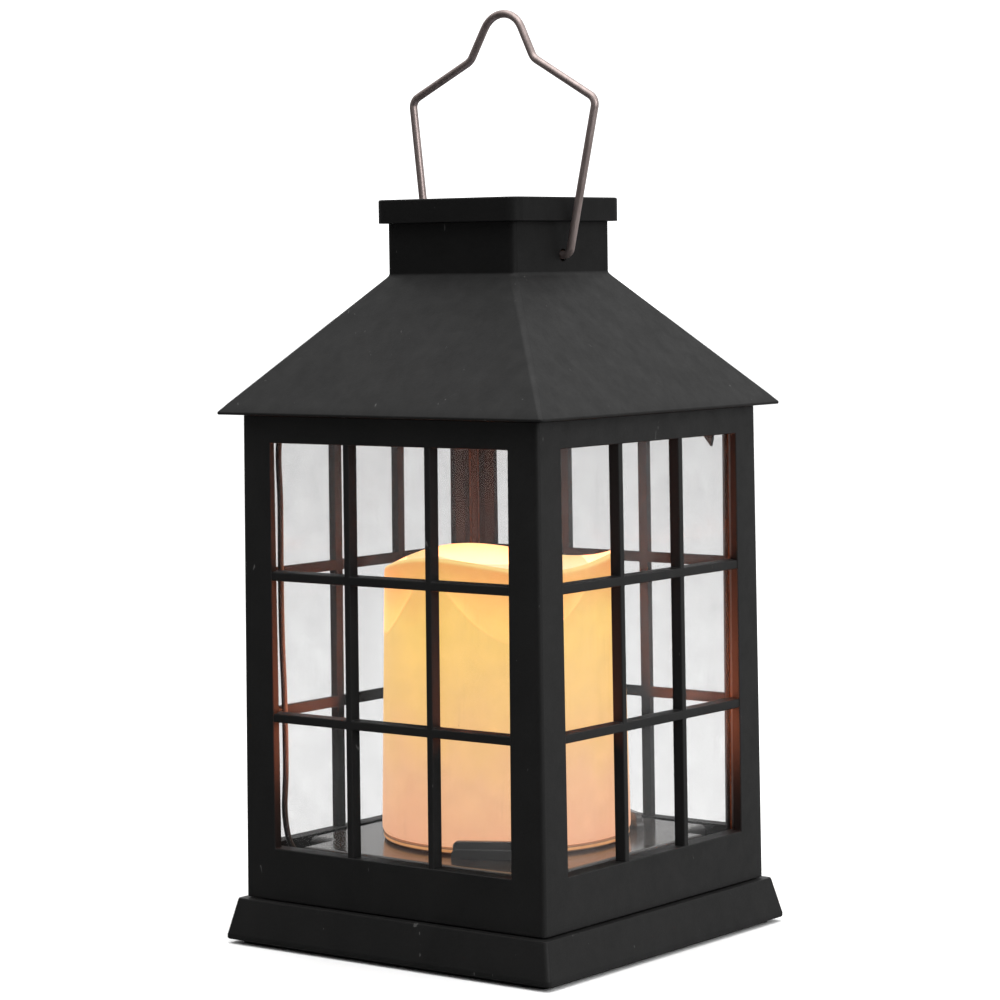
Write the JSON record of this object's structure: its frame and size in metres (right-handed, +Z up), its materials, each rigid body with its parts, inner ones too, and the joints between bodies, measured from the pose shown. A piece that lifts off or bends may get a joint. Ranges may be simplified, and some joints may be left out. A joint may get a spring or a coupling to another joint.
{
  "type": "solar candle lantern",
  "caption": "Hip-roofed black plastic lantern with glazing-bar windows on all sides, a flameless pillar candle inside, a solar cap and a swinging wire bail.",
  "frame": {"origin": "centre of the footprint, on the surface that the standing rim rests on", "axes": "+Z up; the front window faces -Y; the bail swings about an axis along X"},
  "size_m": [0.1288, 0.1288, 0.2957],
  "materials": {
    "black_plastic": "fine matte moulded texture",
    "solar_cell": "glossy clear resin over dark blue cells",
    "clear_pane": "clear, glossy",
    "bail_wire": "bright drawn wire",
    "candle_wax": "translucent wax-like, lit from inside",
    "candle_base_plastic": "satin",
    "white_plastic": "satin",
    "led_epoxy": "clear lens, lit",
    "cell_wrap": "shrink wrap",
    "contact_metal": "nickel plated",
    "circuit_board": "solder mask",
    "switch_metal": "tinned steel",
    "knob_plastic": "fine matte",
    "lead_black": "smooth insulation",
    "lead_red": "smooth insulation",
    "screw_steel": "zinc plated"
  },
  "bodies": {
    "lantern": {"window_frame": "black_plastic", "roof_shell": "black_plastic", "top_cap": "black_plastic", "base_housing": "black_plastic", "bottom_plate": "black_plastic", "solar_panel": "solar_cell", "pane_front": "clear_pane", "pane_right": "clear_pane", "pane_back": "clear_pane", "pane_left": "clear_pane", "candle_shell": "candle_wax", "candle_base": "candle_base_plastic", "led_holder": "white_plastic", "led_lamp": "led_epoxy", "battery_cell": "cell_wrap", "battery_contact_plate": "contact_metal", "battery_contact_spring": "contact_metal", "control_board": "circuit_board", "switch_body": "switch_metal", "solar_lead": "lead_black", "led_lead": "lead_red", "base_screw_1": "screw_steel", "base_screw_2": "screw_steel", "base_screw_3": "screw_steel", "base_screw_4": "screw_steel", "board_screw_1": "screw_steel", "board_screw_2": "screw_steel"},
    "bail": {"bail_handle": "bail_wire"},
    "door": {"battery_door": "black_plastic"},
    "knob": {"switch_knob": "knob_plastic"}
  },
  "joints": [
    {"name": "bail_hinge", "type": "hinge", "parent": "lantern", "child": "bail", "pos_m": [0, 0, 0.2178], "axis": [1, 0, 0], "range_deg": [-107.6, 112.4]},
    {"name": "switch_slide", "type": "slide", "parent": "lantern", "child": "knob", "axis": [1, 0, 0], "range_m": [0, 0.003]},
    {"name": "door_lift_off", "type": "slide", "parent": "lantern", "child": "door", "axis": [0, 0, -1], "range_m": [0, 0.012]}
  ]
}
